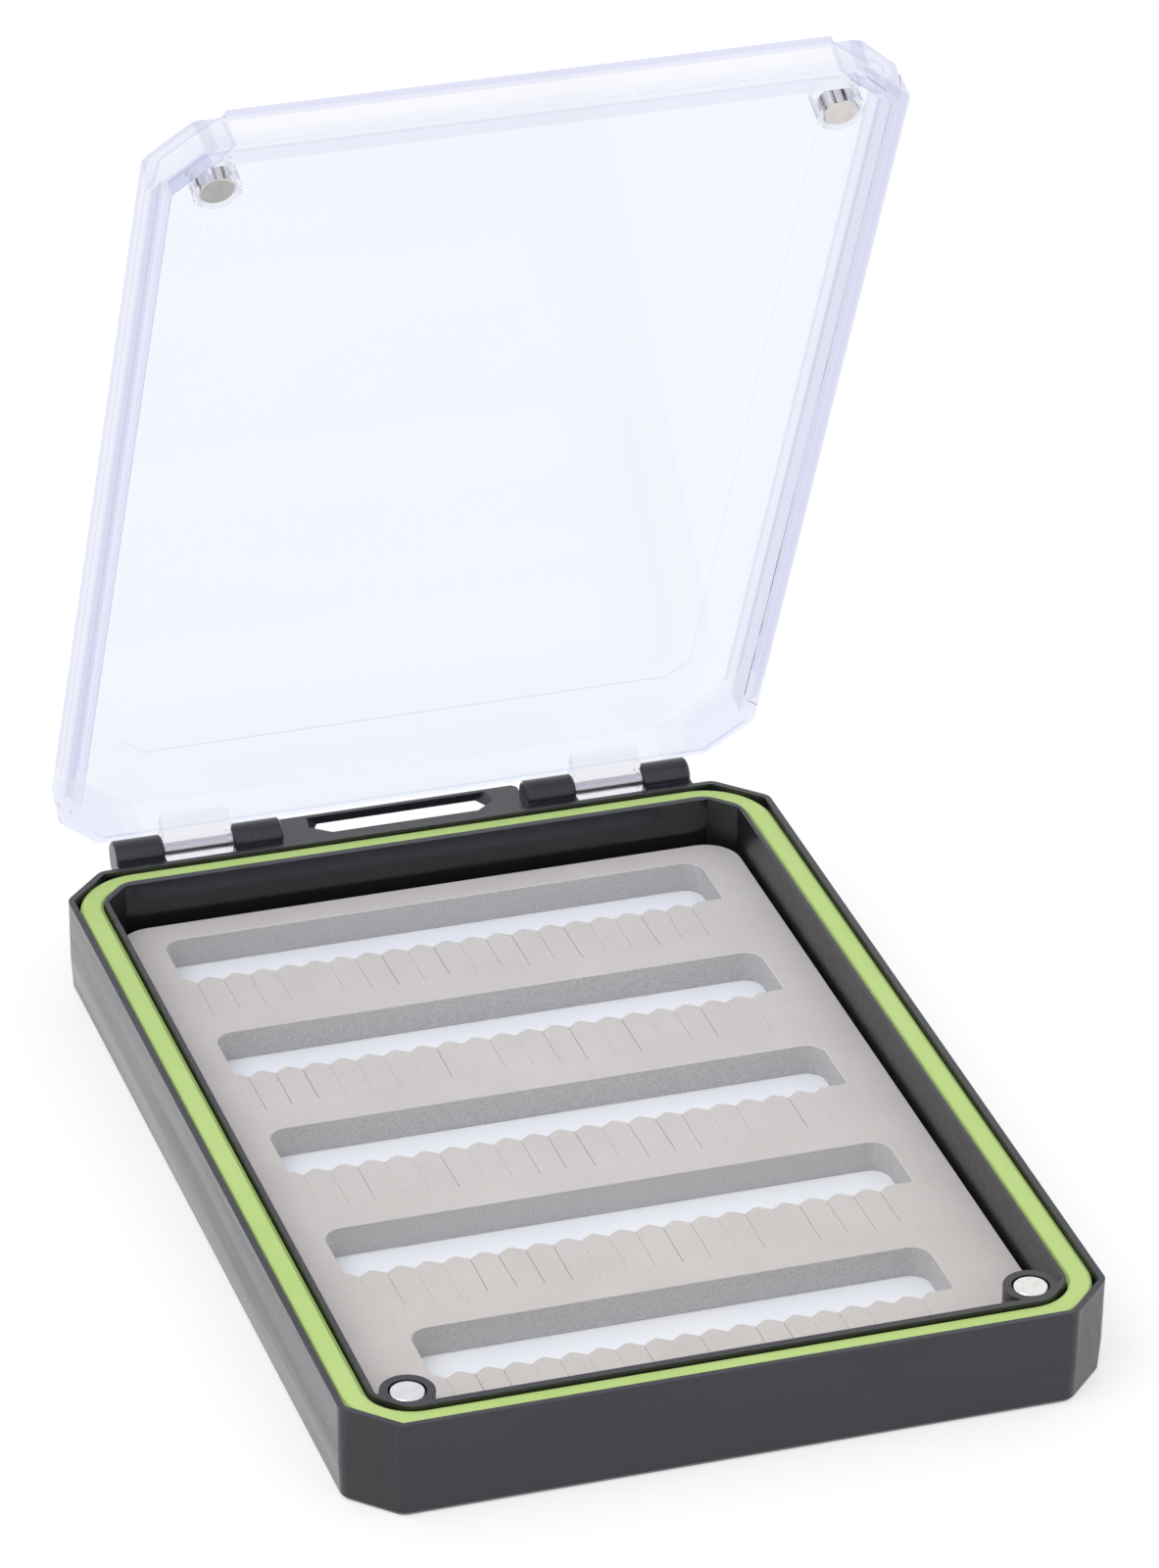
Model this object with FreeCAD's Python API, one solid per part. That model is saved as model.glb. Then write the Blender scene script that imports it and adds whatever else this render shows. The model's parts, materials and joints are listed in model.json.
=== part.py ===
import FreeCAD, Part
import math
import os

Vector = FreeCAD.Vector

# A slim pocket box for fishing flies: a dark tray with a foam insert and a seal,
# and a clear lid on two hinges, held shut by two pairs of disc magnets.
# Millimetres. X runs along the hinge, +Y to the hinge side, +Z up.
# The origin is the middle of the tray's underside. The lid is drawn closed,
# and then turned open about the hinge axis to its rest place.

# Tray
tray_width = 111.0
tray_length = 157.0
tray_height = 15.0
corner_chamfer = 6.9
edge_radius = 2.2
floor_thickness = 2.0
belt_height = 5.2
belt_inset = 0.12
sole_height = 0.6
sole_top_inset = 0.44
sole_inset = 0.9

# Rim of the tray, from outside to inside; the channel is wider along the sides than at the ends
outer_wall = 0.95
side_channel_width = 4.15
end_channel_width = 3.25
side_inner_wall = 0.68
end_inner_wall = 1.15
seal_channel_depth = 3.2
inner_wall_radius = 4.0

# Seal, and its gaps to the outer side of the channel
seal_width = 3.1
seal_height = 2.6
seal_corner_radius = 10.15
seal_side_gap = 0.4
seal_end_gap = 0.05

# Backing sheet and foam insert, and the gaps to the tray's inner walls
sheet_thickness = 1.5
foam_thickness = 4.9
insert_side_gap = 0.75
insert_front_gap = 0.9
insert_back_gap = 2.0
insert_boss_gap = 0.4
insert_corner_radius = 5.5

# Slots of the foam: a straight back edge, and lobes with slits between them at the front
slot_count = 5
first_slot_margin = 12.0
last_slot_margin = 20.5
slot_side_margin = 6.63
last_slot_side_margin = 10.78
slot_width = 11.9
slot_corner_radius = 3.0
slot_front_radius = 0.8
lobe_pitch = 4.08
lobe_depth = 1.1
lobe_crown_radius = 1.1
first_lobe_inset = 1.75
last_lobe_inset = 4.0
slit_width = 0.3
slit_end_land = 5.65
slit_front_land = 3.65

# Magnets and the bosses that hold them
magnet_radius = 2.5
magnet_length = 3.0
magnet_bevel = 0.15
magnet_side_inset = 10.38
magnet_front_inset = 9.16
magnet_pocket_gap = 0.2
base_boss_radius = 3.9
base_boss_drop = 0.5
base_magnet_recess = 0.6
lid_boss_radius = 3.5
lid_magnet_recess = 0.05

# Hinge
hinge_offset = 3.84
hinge_drop = 0.19
barrel_radius = 2.5
barrel_bevel = 0.3
hinge_side_margin = 9.9
outer_barrel_length = 7.6
clear_barrel_length = 10.5
inner_barrel_length = 7.8
barrel_side_gap = 0.15
gusset_height = 8.0
pin_radius = 1.0
pin_fit = 0.03
lid_pin_fit = 0.08
blind_bore_wall = 1.2

# Lanyard bar between the inner barrels; the margins are from the bar's ends to its slot
bar_depth = 8.0
bar_thickness = 1.2
bar_drop = 0.3
bar_slot_front = 2.0
bar_slot_back_low = 6.9
bar_slot_back_high = 7.4
bar_slot_tip = 4.4
bar_slot_front_margin = 7.8
bar_slot_back_low_margin = 8.1
bar_slot_back_high_margin = 3.8
bar_slot_tip_low_margin = 5.8
bar_slot_tip_high_margin = 4.2
bar_corner_cut = 0.7

# Lid
lid_height = 5.73
lid_side_inset = 0.5
lid_edge_radius = 2.6
lid_seat_gap = 0.12
plate_thickness = 1.53
lid_draft = 0.28
lid_top_bevel = 0.25
lid_rim_width = 3.15
lid_root_width = 5.0
lid_cove_height = 1.7
lid_inner_draft = 0.15
tongue_height = 0.6
tongue_outer_inset = 1.65
tongue_draft = 0.1
arm_height = 3.3
arm_embed = 1.5
panel_depth = 0.25
panel_hinge_margin = 14.0
panel_free_margin = 9.8
panel_side_margin = 10.8
panel_corner = 3.4
lip_reach = 1.2
lip_edge_thickness = 0.85
lip_root_thickness = 1.5
lip_side_margin = 2.8
lip_end_taper = 2.2
lid_rest_angle = 65.7

# How far every cut runs past the faces that it opens
overrun = 1.0

half_width = tray_width / 2
half_length = tray_length / 2
chamfer_shrink = 2 - math.sqrt(2)
channel_side = outer_wall + side_channel_width
channel_end = outer_wall + end_channel_width
cavity_side = channel_side + side_inner_wall
cavity_end = channel_end + end_inner_wall
channel_floor = tray_height - seal_channel_depth
sheet_top = floor_thickness + sheet_thickness
foam_top = sheet_top + foam_thickness
foam_half_width = half_width - cavity_side - insert_side_gap
slot_pitch = (tray_length - first_slot_margin - slot_width - last_slot_margin) / (slot_count - 1)
slit_length = slot_pitch - slot_width - lobe_depth - slit_end_land
last_slit_length = last_slot_margin - lobe_depth - cavity_end - insert_front_gap - slit_front_land
lobe_half = (lobe_pitch - slit_width) / 2
lobe_rise = lobe_depth - lobe_crown_radius
lobe_span = math.hypot(lobe_half, lobe_rise)
flank_length = math.sqrt(lobe_span ** 2 - lobe_crown_radius ** 2)
flank_slope = math.atan2(lobe_rise, lobe_half) + math.asin(lobe_crown_radius / lobe_span)
hinge_y = half_length + hinge_offset
hinge_z = tray_height - hinge_drop
outer_barrel_end = half_width - hinge_side_margin
outer_barrel_start = outer_barrel_end - outer_barrel_length
clear_barrel_end = outer_barrel_start - barrel_side_gap
clear_barrel_start = clear_barrel_end - clear_barrel_length
inner_barrel_end = clear_barrel_start - barrel_side_gap
inner_barrel_start = inner_barrel_end - inner_barrel_length
magnet_x = half_width - magnet_side_inset
magnet_y = magnet_front_inset - half_length
lid_rim = tray_height + lid_seat_gap
lid_top = lid_rim + lid_height
plate_underside = lid_top - plate_thickness


def rounded_wire(points, radii):
    """Closed wire through points, each corner rounded by its own radius."""
    count = len(points)
    starts = []
    edges = []
    for index in range(count):
        corner = points[index]
        before = (points[index - 1] - corner).normalize()
        after = (points[(index + 1) % count] - corner).normalize()
        half_turn = before.getAngle(after) / 2
        reach = radii[index] / math.tan(half_turn)
        middle = (before + after).normalize()
        bulge = radii[index] / math.sin(half_turn) - radii[index]
        starts.append((corner + before * reach, corner + middle * bulge, corner + after * reach))
    for index in range(count):
        begin, middle, end = starts[index]
        following = starts[(index + 1) % count][0]
        if radii[index] > 0:
            edges.append(Part.Arc(begin, middle, end).toShape())
        edges.append(Part.LineSegment(end, following).toShape())
    return Part.Wire(edges)


def corner_cut(side, end):
    """Chamfer of the tray's outline drawn in by side and end, its wall as thick as their mean."""
    return corner_chamfer - (side + end) / 2 * chamfer_shrink


def octagon(side, end, height, radius=0):
    """The tray's outline drawn in by side and end, as a closed wire at height."""
    across = half_width - side
    along = half_length - end
    cut = corner_cut(side, end)
    points = [
        Vector(across, cut - along, height),
        Vector(across, along - cut, height),
        Vector(across - cut, along, height),
        Vector(cut - across, along, height),
        Vector(-across, along - cut, height),
        Vector(-across, cut - along, height),
        Vector(cut - across, -along, height),
        Vector(across - cut, -along, height),
    ]
    return rounded_wire(points, [radius] * len(points))


def stack(sections):
    """Ruled solid through a list of closed wires."""
    return Part.makeLoft(sections, True, True)


def prism(wire, rise):
    return Part.Face(wire).extrude(Vector(0, 0, rise))


def cylinder_x(start, end, radius):
    """Cylinder on the hinge axis from one x to another."""
    return Part.makeCylinder(radius, end - start, Vector(start, hinge_y, hinge_z), Vector(1, 0, 0))


def mirrored_x(shape):
    return shape.mirror(Vector(0, 0, 0), Vector(1, 0, 0))


def barrel(start, end):
    """Hinge barrel with bevelled ends."""
    body = cylinder_x(start, end, barrel_radius)
    rings = [edge for edge in body.Edges if edge.Closed and len(edge.Vertexes) == 1]
    return body.makeChamfer(barrel_bevel, rings)


def magnet(bottom):
    """Disc magnet with bevelled edges, standing on the height bottom, on the right."""
    disc = Part.makeCylinder(magnet_radius, magnet_length, Vector(magnet_x, magnet_y, bottom))
    rings = [edge for edge in disc.Edges if edge.Closed and len(edge.Vertexes) == 1]
    return disc.makeChamfer(magnet_bevel, rings)


def gusset(start, end):
    """Web under a barrel: from the tray's back wall, tangent to the barrel."""
    wall = half_length - outer_wall / 2
    foot = Vector(0, half_length - sole_inset, hinge_z - gusset_height)
    centre = Vector(0, hinge_y, hinge_z)
    span = centre - foot
    tilt = math.atan2(span.z, span.y) - math.asin(barrel_radius / span.Length)
    reach = math.sqrt(span.Length ** 2 - barrel_radius ** 2)
    touch = foot + Vector(0, math.cos(tilt), math.sin(tilt)) * reach
    points = [Vector(0, wall, foot.z), foot, touch, centre, Vector(0, wall, hinge_z)]
    profile = Part.makePolygon(points + points[:1])
    profile.translate(Vector(start, 0, 0))
    return Part.Face(profile).extrude(Vector(end - start, 0, 0))


def base_barrels():
    """The two barrels of the right hinge that belong to the tray."""
    parts = []
    for start, end in ((inner_barrel_start, inner_barrel_end), (outer_barrel_start, outer_barrel_end)):
        parts.append(barrel(start, end))
        parts.append(gusset(start, end))
    return parts


def pin_bore(fit):
    """Bore of the right hinge, blind in both of the tray's barrels."""
    return cylinder_x(inner_barrel_start + blind_bore_wall, outer_barrel_end - blind_bore_wall, pin_radius + fit)


def lanyard_slot():
    """Six-sided slot whose ends and back slope outwards to the top."""
    top = tray_height - bar_drop + overrun
    bottom = tray_height - bar_drop - bar_thickness - overrun
    rows = []
    front_half = inner_barrel_start - bar_slot_front_margin
    for height, back, back_margin, tip_margin in (
        (bottom, bar_slot_back_low, bar_slot_back_low_margin, bar_slot_tip_low_margin),
        (top, bar_slot_back_high, bar_slot_back_high_margin, bar_slot_tip_high_margin),
    ):
        back_half = inner_barrel_start - back_margin
        tip_half = inner_barrel_start - tip_margin
        points = [
            Vector(-front_half, half_length + bar_slot_front, height),
            Vector(front_half, half_length + bar_slot_front, height),
            Vector(tip_half, half_length + bar_slot_tip, height),
            Vector(back_half, half_length + back, height),
            Vector(-back_half, half_length + back, height),
            Vector(-tip_half, half_length + bar_slot_tip, height),
        ]
        rows.append(Part.makePolygon(points + points[:1]))
    return stack(rows)


def lanyard_bar():
    """Flat ear on the back wall between the inner barrels."""
    front = half_length - outer_wall / 2
    back = half_length + bar_depth
    bottom = tray_height - bar_drop - bar_thickness
    points = [
        Vector(-inner_barrel_start, front, bottom),
        Vector(inner_barrel_start, front, bottom),
        Vector(inner_barrel_start, back - bar_corner_cut, bottom),
        Vector(inner_barrel_start - bar_corner_cut, back, bottom),
        Vector(bar_corner_cut - inner_barrel_start, back, bottom),
        Vector(-inner_barrel_start, back - bar_corner_cut, bottom),
    ]
    plate = prism(Part.makePolygon(points + points[:1]), bar_thickness)
    return plate.cut(lanyard_slot())


def base_boss():
    """Magnet boss of the right front corner, filled out to the inner wall's corner."""
    rise = tray_height - base_boss_drop - floor_thickness
    post = Part.makeCylinder(base_boss_radius, rise, Vector(magnet_x, magnet_y, floor_thickness))
    side = cavity_side - side_inner_wall / 2
    end = cavity_end - end_inner_wall / 2
    across = half_width - side
    along = half_length - end
    cut = corner_cut(side, end)
    points = [
        Vector(magnet_x, magnet_y, floor_thickness),
        Vector(across - cut, -along, floor_thickness),
        Vector(across, cut - along, floor_thickness),
    ]
    corner = prism(Part.makePolygon(points + points[:1]), rise)
    return post.fuse(corner)


def base_pocket():
    """Blind pocket for the base magnet of the right front corner."""
    bottom = tray_height - base_magnet_recess - magnet_length
    return Part.makeCylinder(magnet_radius + magnet_pocket_gap, magnet_length + overrun,
                             Vector(magnet_x, magnet_y, bottom))


def base_tray():
    """Moulded tray with the seal channel, the bosses, the hinge barrels and the lanyard bar."""
    shell = stack([
        octagon(sole_inset, sole_inset, 0, edge_radius),
        octagon(sole_top_inset, sole_top_inset, sole_height, edge_radius),
        octagon(belt_inset, belt_inset, belt_height, edge_radius),
        octagon(0, 0, tray_height, edge_radius),
    ])
    cavity_depth = tray_height - floor_thickness + overrun
    cavity = prism(octagon(cavity_side, cavity_end, floor_thickness), cavity_depth)
    channel_outer = prism(octagon(outer_wall, outer_wall, channel_floor), seal_channel_depth + overrun)
    channel_inner = prism(octagon(channel_side, channel_end, channel_floor - overrun, inner_wall_radius),
                          seal_channel_depth + 3 * overrun)
    tray = shell.cut([cavity, channel_outer.cut(channel_inner)])
    additions = base_barrels() + [base_boss()]
    additions += [mirrored_x(piece) for piece in additions]
    tray = tray.fuse(additions + [lanyard_bar()])
    bores = [pin_bore(pin_fit), base_pocket()]
    tray = tray.cut(bores + [mirrored_x(piece) for piece in bores])
    return tray.removeSplitter()


def rounded_rectangle(across, along, radius, height):
    points = [
        Vector(across, -along, height),
        Vector(across, along, height),
        Vector(-across, along, height),
        Vector(-across, -along, height),
    ]
    return rounded_wire(points, [radius] * len(points))


def seal_gasket():
    """Soft ring that lies on the channel's floor."""
    across = half_width - outer_wall - seal_side_gap
    along = half_length - outer_wall - seal_end_gap
    outer = prism(rounded_rectangle(across, along, seal_corner_radius, channel_floor), seal_height)
    inner = prism(rounded_rectangle(across - seal_width, along - seal_width, seal_corner_radius - seal_width,
                                    channel_floor - overrun), seal_height + 2 * overrun)
    return outer.cut(inner)


def insert_blank(bottom, thickness):
    """Sheet in the tray's cavity with round back corners, notched at the front for the magnet bosses."""
    front = cavity_end + insert_front_gap - half_length
    back = half_length - cavity_end - insert_back_gap
    points = [
        Vector(foam_half_width, front, bottom),
        Vector(foam_half_width, back, bottom),
        Vector(-foam_half_width, back, bottom),
        Vector(-foam_half_width, front, bottom),
    ]
    blank = prism(rounded_wire(points, [0, insert_corner_radius, insert_corner_radius, 0]), thickness)
    notch_inner = magnet_x - base_boss_radius - insert_boss_gap
    notch_back = magnet_y + base_boss_radius + insert_boss_gap
    notch = Part.makeBox(half_width - notch_inner, notch_back + half_length, thickness + 2 * overrun,
                         Vector(notch_inner, -half_length, bottom - overrun))
    return blank.cut([notch, mirrored_x(notch)])


def lines(points):
    """Straight edges from each point to the next."""
    return [Part.LineSegment(start, end).toShape() for start, end in zip(points, points[1:])]


def lobe(middle, valley, height):
    """Edges of one lobe from right to left: two straight flanks and a round crown."""
    reach = lobe_half - flank_length * math.cos(flank_slope)
    shoulder = valley + flank_length * math.sin(flank_slope)
    start = Vector(middle + reach, shoulder, height)
    end = Vector(middle - reach, shoulder, height)
    crown = Part.Arc(start, Vector(middle, valley + lobe_depth, height), end).toShape()
    right = lines([Vector(middle + lobe_half, valley, height), start])
    left = lines([end, Vector(middle - lobe_half, valley, height)])
    return right + [crown] + left


def quarter(corner, towards, radius):
    """Quarter arc that rounds a corner of the slot; towards is the side of its centre in x and y."""
    centre = corner + towards * radius
    middle = centre - towards * radius * math.sqrt(0.5)
    beside = Vector(corner.x, centre.y, corner.z)
    above = Vector(centre.x, corner.y, corner.z)
    return beside, middle, above


def slot_outline(index, height):
    """Closed wire of one slot: round corners, and lobes with slits along the front edge."""
    is_last = index == slot_count - 1
    half = foam_half_width - (last_slot_side_margin if is_last else slot_side_margin)
    lobes = int((2 * half - first_lobe_inset - last_lobe_inset) / lobe_pitch)
    back = half_length - first_slot_margin - slot_pitch * index
    peak = back - slot_width
    valley = peak - lobe_depth
    slit_end = valley - (last_slit_length if is_last else slit_length)
    first = first_lobe_inset - half
    run = lobe_depth / math.tan(flank_slope)
    side, middle, top = quarter(Vector(half, back, height), Vector(-1, -1, 0), slot_corner_radius)
    foot_side, foot_middle, foot = quarter(Vector(half, peak, height), Vector(-1, 1, 0), slot_front_radius)
    edges = lines([Vector(-top.x, back, height), top])
    edges.append(Part.Arc(top, middle, side).toShape())
    edges += lines([side, foot_side])
    edges.append(Part.Arc(foot_side, foot_middle, foot).toShape())
    last = first + lobes * lobe_pitch + slit_width / 2
    edges += lines([foot, Vector(last + run, peak, height), Vector(last, valley, height)])
    for slit in range(lobes, -1, -1):
        centre = first + slit * lobe_pitch
        right = centre + slit_width / 2
        left = centre - slit_width / 2
        edges += lines([Vector(right, valley, height), Vector(right, slit_end, height),
                        Vector(left, slit_end, height), Vector(left, valley, height)])
        if slit > 0:
            edges += lobe(centre - lobe_pitch / 2, valley, height)
    foot, foot_middle, foot_side, side, middle, top = [
        Vector(-point.x, point.y, height) for point in (foot, foot_middle, foot_side, side, middle, top)]
    edges += lines([Vector(left, valley, height), foot])
    edges.append(Part.Arc(foot, foot_middle, foot_side).toShape())
    edges += lines([foot_side, side])
    edges.append(Part.Arc(side, middle, top).toShape())
    return Part.Wire(edges)


def foam_insert():
    """Foam sheet with a row of scalloped slots cut through it, for hooks to be pushed into the slits."""
    blank = insert_blank(sheet_top, foam_thickness)
    slots = []
    for index in range(slot_count):
        slots.append(prism(slot_outline(index, sheet_top - overrun), foam_thickness + 2 * overrun))
    return blank.cut(slots)


def foam_backing_sheet():
    """White sheet between the tray's floor and the foam, seen at the bottom of each slot."""
    return insert_blank(floor_thickness, sheet_thickness)


def base_magnet():
    return magnet(tray_height - base_magnet_recess - magnet_length)


def lid_magnet():
    return magnet(lid_rim + lid_magnet_recess)


def hinge_pin():
    """Pin of the right hinge, held between the blind ends of the tray's barrels."""
    return cylinder_x(inner_barrel_start + blind_bore_wall, outer_barrel_end - blind_bore_wall, pin_radius)


def lid_octagon(inset, height, radius=0):
    """The lid's outline drawn in by inset; the lid is a little narrower than the tray."""
    return octagon(lid_side_inset + inset, inset, height, radius)


def lid_knuckle():
    """Clear barrel of the right hinge, on an arm that runs into the lid's back wall."""
    arm = Part.makeBox(clear_barrel_length, hinge_offset + arm_embed, arm_height,
                       Vector(clear_barrel_start, half_length - arm_embed, lid_rim))
    return barrel(clear_barrel_start, clear_barrel_end).fuse(arm)


def lid_boss():
    """Clear tube that holds the lid magnet of the right front corner."""
    rise = plate_underside - lid_rim + plate_thickness / 2
    post = Part.makeCylinder(lid_boss_radius, rise, Vector(magnet_x, magnet_y, lid_rim))
    pocket = Part.makeCylinder(magnet_radius + magnet_pocket_gap, magnet_length + lid_magnet_recess + overrun,
                               Vector(magnet_x, magnet_y, lid_rim - overrun))
    return post.cut(pocket)


def thumb_lip():
    """Tapered ledge along the lid's free end, level with its top face."""
    root = lid_root_width - half_length
    tip = -half_length - lip_reach
    root_half = half_width - corner_chamfer - lip_side_margin
    sections = []
    for y, half, thickness in ((root, root_half, lip_root_thickness),
                               (tip, root_half - lip_end_taper, lip_edge_thickness)):
        points = [
            Vector(-half, y, lid_top - lid_top_bevel - thickness),
            Vector(half, y, lid_top - lid_top_bevel - thickness),
            Vector(half, y, lid_top - lid_top_bevel),
            Vector(-half, y, lid_top - lid_top_bevel),
        ]
        sections.append(Part.makePolygon(points + points[:1]))
    return stack(sections)


def panel_recess():
    """Shallow octagonal recess in the lid's top face."""
    across = half_width - panel_side_margin
    back = half_length - panel_hinge_margin
    front = panel_free_margin - half_length
    bottom = lid_top - panel_depth
    points = [
        Vector(across, front + panel_corner, bottom),
        Vector(across, back - panel_corner, bottom),
        Vector(across - panel_corner, back, bottom),
        Vector(panel_corner - across, back, bottom),
        Vector(-across, back - panel_corner, bottom),
        Vector(-across, front + panel_corner, bottom),
        Vector(panel_corner - across, front, bottom),
        Vector(across - panel_corner, front, bottom),
    ]
    return prism(Part.makePolygon(points + points[:1]), panel_depth + overrun)


def lid_tongue():
    """Ring below the lid's rim that presses on the seal."""
    outer = stack([
        lid_octagon(tongue_outer_inset + tongue_draft, lid_rim - tongue_height),
        lid_octagon(tongue_outer_inset, lid_rim),
    ])
    inner = prism(lid_octagon(lid_rim_width, lid_rim - tongue_height - overrun), tongue_height + 2 * overrun)
    return outer.cut(inner)


def lid_closed():
    """Clear lid in its closed place."""
    shell = stack([
        lid_octagon(0, lid_rim, lid_edge_radius),
        lid_octagon(lid_draft, lid_top - lid_top_bevel, lid_edge_radius),
        lid_octagon(lid_draft + lid_top_bevel, lid_top, lid_edge_radius),
    ])
    cove_start = plate_underside - lid_cove_height
    hollow = stack([
        lid_octagon(lid_rim_width, lid_rim - overrun),
        lid_octagon(lid_rim_width, lid_rim),
        lid_octagon(lid_rim_width + lid_inner_draft, cove_start),
        lid_octagon(lid_root_width, plate_underside),
    ])
    lid = shell.cut([hollow, panel_recess()])
    sides = [lid_knuckle(), lid_boss()]
    lid = lid.fuse(sides + [mirrored_x(piece) for piece in sides] + [lid_tongue(), thumb_lip()])
    bore = pin_bore(lid_pin_fit)
    return lid.cut([bore, mirrored_x(bore)]).removeSplitter()


def opened(shape):
    """Turn a piece of the lid open about the hinge axis to its rest place."""
    turned = shape.copy()
    turned.rotate(Vector(0, hinge_y, hinge_z), Vector(-1, 0, 0), lid_rest_angle)
    return turned


def all_pieces():
    right_base_magnet = base_magnet()
    right_lid_magnet = lid_magnet()
    right_pin = hinge_pin()
    return {
        "base_tray": base_tray(),
        "seal_gasket": seal_gasket(),
        "foam_backing_sheet": foam_backing_sheet(),
        "foam_insert": foam_insert(),
        "base_magnet_right": right_base_magnet,
        "base_magnet_left": mirrored_x(right_base_magnet),
        "hinge_pin_right": right_pin,
        "hinge_pin_left": mirrored_x(right_pin),
        "lid_shell": opened(lid_closed()),
        "lid_magnet_right": opened(right_lid_magnet),
        "lid_magnet_left": opened(mirrored_x(right_lid_magnet)),
    }


os.makedirs("parts", exist_ok=True)
for name, shape in all_pieces().items():
    if len(shape.Solids) == 1:
        shape = shape.Solids[0]
    shape.exportStep("parts/" + name + ".step")
    box = shape.BoundBox
    print(name, "solids", len(shape.Solids), "valid", shape.isValid(), "volume", round(shape.Volume, 1),
          "y", round(box.YMin, 2), round(box.YMax, 2), "z", round(box.ZMin, 2), round(box.ZMax, 2))
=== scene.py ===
import json
import math
import random

import bpy
from mathutils import Matrix, Vector


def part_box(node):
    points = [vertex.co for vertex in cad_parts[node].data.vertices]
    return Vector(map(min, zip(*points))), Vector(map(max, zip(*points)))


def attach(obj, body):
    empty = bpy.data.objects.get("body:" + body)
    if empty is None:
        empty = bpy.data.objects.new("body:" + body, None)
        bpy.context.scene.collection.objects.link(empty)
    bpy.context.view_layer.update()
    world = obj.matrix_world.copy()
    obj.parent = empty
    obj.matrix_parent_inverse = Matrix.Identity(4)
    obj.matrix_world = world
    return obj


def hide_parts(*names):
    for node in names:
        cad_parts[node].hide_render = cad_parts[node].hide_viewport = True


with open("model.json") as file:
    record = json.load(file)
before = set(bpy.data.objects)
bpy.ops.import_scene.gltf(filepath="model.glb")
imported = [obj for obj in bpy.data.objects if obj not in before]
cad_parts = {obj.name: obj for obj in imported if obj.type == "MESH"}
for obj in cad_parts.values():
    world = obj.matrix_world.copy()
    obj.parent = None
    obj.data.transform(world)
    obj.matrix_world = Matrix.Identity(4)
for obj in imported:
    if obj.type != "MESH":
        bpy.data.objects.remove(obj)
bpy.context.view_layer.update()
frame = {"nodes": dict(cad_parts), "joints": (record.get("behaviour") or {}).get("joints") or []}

# Lengths are written in millimetres and turned into metres by this scale.
MM = 0.001

# Camera, fitted to the photograph: it looks at a point on the floor plane.
CAMERA_AZIMUTH = -18.259
CAMERA_ELEVATION = 29.2
CAMERA_ROLL = 0.718
CAMERA_DISTANCE = 1284.3 * MM
CAMERA_TARGET = (37.15 * MM, 108.81 * MM, 0.0)
CAMERA_SENSOR = 36.0
CAMERA_LENS = 253.63
CAMERA_CLIP = (0.05, 20.0)

# Foam insert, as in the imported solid, with its slits
FOAM_EDGE_ROUND = 0.13 * MM
SLOT_COUNT = 5
SLOT_PITCH = 28.15 * MM
FIRST_SLOT_BACK = 66.5 * MM
SLOT_HALF_LENGTH = 42.35 * MM
LAST_SLOT_HALF_LENGTH = 38.2 * MM
SLOT_WIDTH = 11.9 * MM
SLOT_CORNER_RADIUS = 3.0 * MM
SLOT_FRONT_RADIUS = 0.8 * MM
LOBE_PITCH = 4.08 * MM
LOBE_DEPTH = 1.1 * MM
LOBE_CROWN_RADIUS = 1.1 * MM
LOBE_COUNT = 19
LAST_LOBE_COUNT = 17
FIRST_LOBE_INSET = 1.75 * MM
SLIT_LENGTH = 9.5 * MM
SLIT_WIDTH = 0.3 * MM
SLIT_GAPS = (0.0, 0.09 * MM)
SLIT_SWAY = 0.14 * MM
SLIT_LENGTH_SHARES = (0.9, 1.03)
FOAM_CORNER_RADIUS = 5.5 * MM
NOTCH_SIDE = 40.82 * MM
NOTCH_BACK = 65.04 * MM
FOAM_EDGE_STEPS = 2
FOAM_SEED = 4
CORNER_STEPS = 8
SLOT_FRONT_STEPS = 4

# Seal ring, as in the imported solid, with a rounded top and low shoulders
SEAL_WIDTH = 3.1 * MM
SEAL_CORNER_RADIUS = 10.15 * MM
SEAL_TOP_ROUND = 0.35 * MM
SEAL_INNER_SHOULDER = 0.55 * MM
SEAL_OUTER_SHOULDER = 0.35 * MM
SEAL_SHOULDER_DROP = 0.25 * MM
SEAL_SHOULDER_HEIGHT = 0.55 * MM
SEAL_SHOULDER_FADE = 16
SEAL_SOLE_ROUND = 0.2 * MM
SEAL_CORNER_STEPS = 14
SEAL_TOP_STEPS = 5

# Tray: its walls within these half sizes are blacker than its outside
CHANNEL_OUTER_HALF_WIDTH = 54.6 * MM
CHANNEL_OUTER_HALF_LENGTH = 77.6 * MM
# A normal that rises less than this belongs to a wall, and one that leans sideways more to a side wall
TRAY_WALL_RISE = 0.7
TRAY_SIDE_TURN = 0.5
TRAY_EDGE_ROUND = 0.18 * MM
TRAY_EDGE_SAMPLES = 4

# Clear lid; its places are given closed, in the tray's axes
LID_REST_ANGLE = 65.7
LID_HALF_WIDTH = 55.0 * MM
LID_HALF_LENGTH = 78.5 * MM
LID_CORNER_CUT = 6.75 * MM
LID_RIM_DEPTH = 5.0 * MM
LID_PLATE_UNDERSIDE = 19.32 * MM
LID_MAGNET_SIDE = 45.12 * MM
LID_MAGNET_FRONT = 69.34 * MM
LID_TUBE_REACH = 3.6 * MM
LID_MAGNET_FACE_RISE = 0.6
LID_IOR = 1.07
LID_COAT = 0.25

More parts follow.
